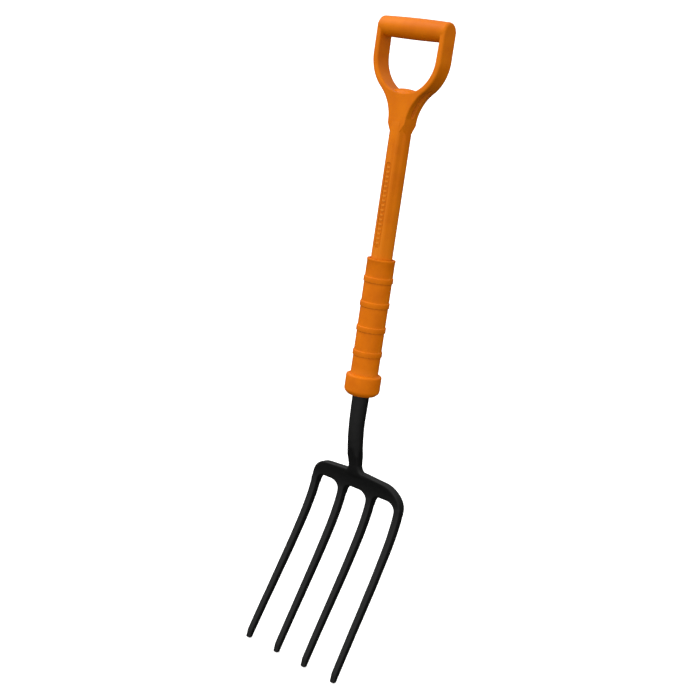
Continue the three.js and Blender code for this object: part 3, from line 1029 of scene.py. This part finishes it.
def makeFillerMaterial(name, colours, scale, roughness, depth, metallic):
    material, shader = startMaterial(name)
    place = addNode(material, "ShaderNodeTexCoord").outputs["Object"]
    stretch = addNode(material, "ShaderNodeMapping", inputs={"Scale": scale}, links={"Vector": place})
    streak = addNode(
        material, "ShaderNodeTexNoise", inputs={"Scale": 1, "Detail": 4},
        links={"Vector": stretch.outputs["Vector"]},
    )
    spread = addNode(
        material, "ShaderNodeMapRange", inputs={"From Min": 0.35, "From Max": 0.65},
        links={"Value": streak.outputs["Fac"]},
    )
    colour = addNode(
        material, "ShaderNodeMix", {"data_type": "RGBA"}, {"A": linear(colours[0]), "B": linear(colours[1])},
        {"Factor": spread.outputs["Result"]},
    )
    rough = addNode(
        material, "ShaderNodeMapRange", inputs={"To Min": roughness[0], "To Max": roughness[1]},
        links={"Value": spread.outputs["Result"]},
    )
    groove = addNode(
        material, "ShaderNodeBump", inputs={"Distance": depth * mm}, links={"Height": streak.outputs["Fac"]}
    )
    linkShader(material, shader, colour.outputs["Result"], rough.outputs["Result"], groove.outputs["Normal"])
    shader.inputs["Metallic"].default_value = metallic
    return material


def coatCadNode(name, material):
    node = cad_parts[name]
    node.data.materials.clear()
    node.data.materials.append(material)


stage = {
    "floorRadius": 4.2, "wallHeight": 3.4, "sweep": 1.4, "sweepSteps": 12, "gap": 0.0005, "crease": 60,
    "paper": "#f7f7f6", "glow": 0.55, "roughness": 0.9, "tooth": 220, "toothDepth": 0.0001,
}


def makeStage():
    radius, rise = stage["floorRadius"] - stage["sweep"], 0
    base = Vector((0, 0, cadBounds[0][2] - stage["gap"]))
    bpy.ops.mesh.primitive_circle_add(vertices=128, radius=radius, fill_type="NGON", location=base)
    floor = bpy.context.object
    floor.name = "studio_floor"
    startEdit(floor)
    pick(floor, "EDGE", lambda edge: edge.is_boundary)
    for step in range(1, stage["sweepSteps"] + 1):
        turn = math.pi / 2 * step / stage["sweepSteps"]
        nextRadius = stage["floorRadius"] - stage["sweep"] * (1 - math.sin(turn))
        nextRise = stage["sweep"] * (1 - math.cos(turn))
        growth = nextRadius / radius
        pushOn(base + Vector((0, 0, rise)), base + Vector((0, 0, nextRise)), (growth, growth, 1))
        radius, rise = nextRadius, nextRise
    pushOn(base + Vector((0, 0, rise)), base + Vector((0, 0, rise + stage["wallHeight"])), (1, 1, 1))
    endEdit()
    settle(floor)
    softenAll(floor, stage["crease"])
    material, shader = startMaterial("matt white paper sweep")
    place = addNode(material, "ShaderNodeTexCoord").outputs["Object"]
    tooth = addNode(
        material, "ShaderNodeTexNoise", inputs={"Scale": stage["tooth"], "Detail": 2}, links={"Vector": place}
    )
    bump = addNode(
        material, "ShaderNodeBump", inputs={"Distance": stage["toothDepth"]},
        links={"Height": tooth.outputs["Fac"]},
    )
    material.node_tree.links.new(bump.outputs["Normal"], shader.inputs["Normal"])
    shader.inputs["Base Color"].default_value = linear(stage["paper"])
    shader.inputs["Roughness"].default_value = stage["roughness"]
    shader.inputs["Emission Color"].default_value = linear(stage["paper"])
    shader.inputs["Emission Strength"].default_value = stage["glow"]
    floor.data.materials.append(material)
    floor.visible_glossy = False
    floor.visible_diffuse = False


# A light tent: white cloth all round, brightest high in front, with one softbox at the left for the glints
tent = {"azimuth": 18, "elevation": 54, "middle": 0.57, "swing": 1.1, "least": 0.05}
softbox = {"azimuth": -62, "elevation": 46, "distance": 2.4, "size": (1.5, 1.5), "power": 22}


def awayFrom(azimuth, elevation):
    a, e = math.radians(azimuth), math.radians(elevation)
    return Vector((math.sin(a) * math.cos(e), -math.cos(a) * math.cos(e), math.sin(e)))


def makeLight():
    world = bpy.data.worlds.new("light tent")
    world.use_nodes = True
    direction = addNode(world, "ShaderNodeTexCoord").outputs["Generated"]
    facing = addNode(world, "ShaderNodeVectorMath", {"operation": "DOT_PRODUCT"})
    facing.inputs[1].default_value = awayFrom(tent["azimuth"], tent["elevation"])
    world.node_tree.links.new(direction, facing.inputs[0])
    level = addNode(world, "ShaderNodeMath", {"operation": "MULTIPLY_ADD"})
    level.inputs[1].default_value = tent["swing"]
    level.inputs[2].default_value = tent["middle"]
    world.node_tree.links.new(facing.outputs["Value"], level.inputs[0])
    atLeast = addNode(world, "ShaderNodeMath", {"operation": "MAXIMUM"})
    atLeast.inputs[1].default_value = tent["least"]
    world.node_tree.links.new(level.outputs["Value"], atLeast.inputs[0])
    background = world.node_tree.nodes["Background"]
    background.inputs["Color"].default_value = (1, 1, 1, 1)
    world.node_tree.links.new(atLeast.outputs["Value"], background.inputs["Strength"])
    bpy.context.scene.world = world
    middle = Vector((0, 0, (cadBounds[0][2] + cadBounds[1][2]) / 2))
    away = awayFrom(softbox["azimuth"], softbox["elevation"])
    bpy.ops.object.light_add(
        type="AREA", location=middle + away * softbox["distance"],
        rotation=away.to_track_quat("Z", "Y").to_euler(),
    )
    light = bpy.context.object
    light.name = "softbox"
    light.data.shape = "RECTANGLE"
    light.data.size, light.data.size_y = softbox["size"]
    light.data.energy = softbox["power"]


camera = {
    "azimuth": 39.38, "elevation": 11.96, "roll": 8.39, "location": (1.287, -1.61315, -0.0806),
    "lens": 66.508, "sensor": 36,
}


def makeCamera():
    turn = (
        Matrix.Rotation(math.radians(camera["azimuth"]), 3, "Z")
        @ Matrix.Rotation(math.radians(90 - camera["elevation"]), 3, "X")
        @ Matrix.Rotation(math.radians(camera["roll"]), 3, "Z")
    )
    bpy.ops.object.camera_add(location=camera["location"], rotation=turn.to_euler())
    bpy.context.object.data.lens = camera["lens"]
    bpy.context.object.data.sensor_width = camera["sensor"]
    bpy.context.scene.camera = bpy.context.object
    bpy.context.scene.view_settings.view_transform = "Standard"


makeCamera()
makeStage()
makeLight()
print("camera, floor and lights are ready")

handleOrange = makeMoulding("injection-moulded polypropylene, spark textured", mouldedHandle)
sleeveOrange = makeMoulding("injection-moulded soft polypropylene sleeve", mouldedSleeve)
blackPaint = makePaint()
print("materials are ready")

for piece, node, slot, material in (
    (makeSleeve(), "insulating_sleeve", "orange_sleeve", sleeveOrange),
    (makeCollar(), "guard_collar", "orange_sleeve", sleeveOrange),
    (makeHandle(), "handle_moulding", "orange_polymer", handleOrange),
    (makeHead(), "fork_head", "painted_steel", blackPaint),
):
    piece.data.materials.clear()
    piece.data.materials.append(material)
    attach(piece, "root")
    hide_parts(node)
    print("made", piece.name, "with", len(piece.data.polygons), "faces")

roving = [metre / glassFibre["roving"][i] for i in (0, 0, 1)]
coatCadNode("shaft_core", makeFillerMaterial(
    "pultruded glass fibre", glassFibre["resin"], roving, glassFibre["roughness"],
    glassFibre["grooveDepth"], metallic=0,
))
spangle = [metre / zincSteel["spangle"]] * 3
zinc = makeFillerMaterial(
    "zinc-plated steel pin", zincSteel["plate"], spangle, zincSteel["roughness"],
    zincSteel["spangleDepth"], metallic=1,
)
for name in ("rivet_lower", "rivet_upper"):
    coatCadNode(name, zinc)
print("core and rivets are coated")
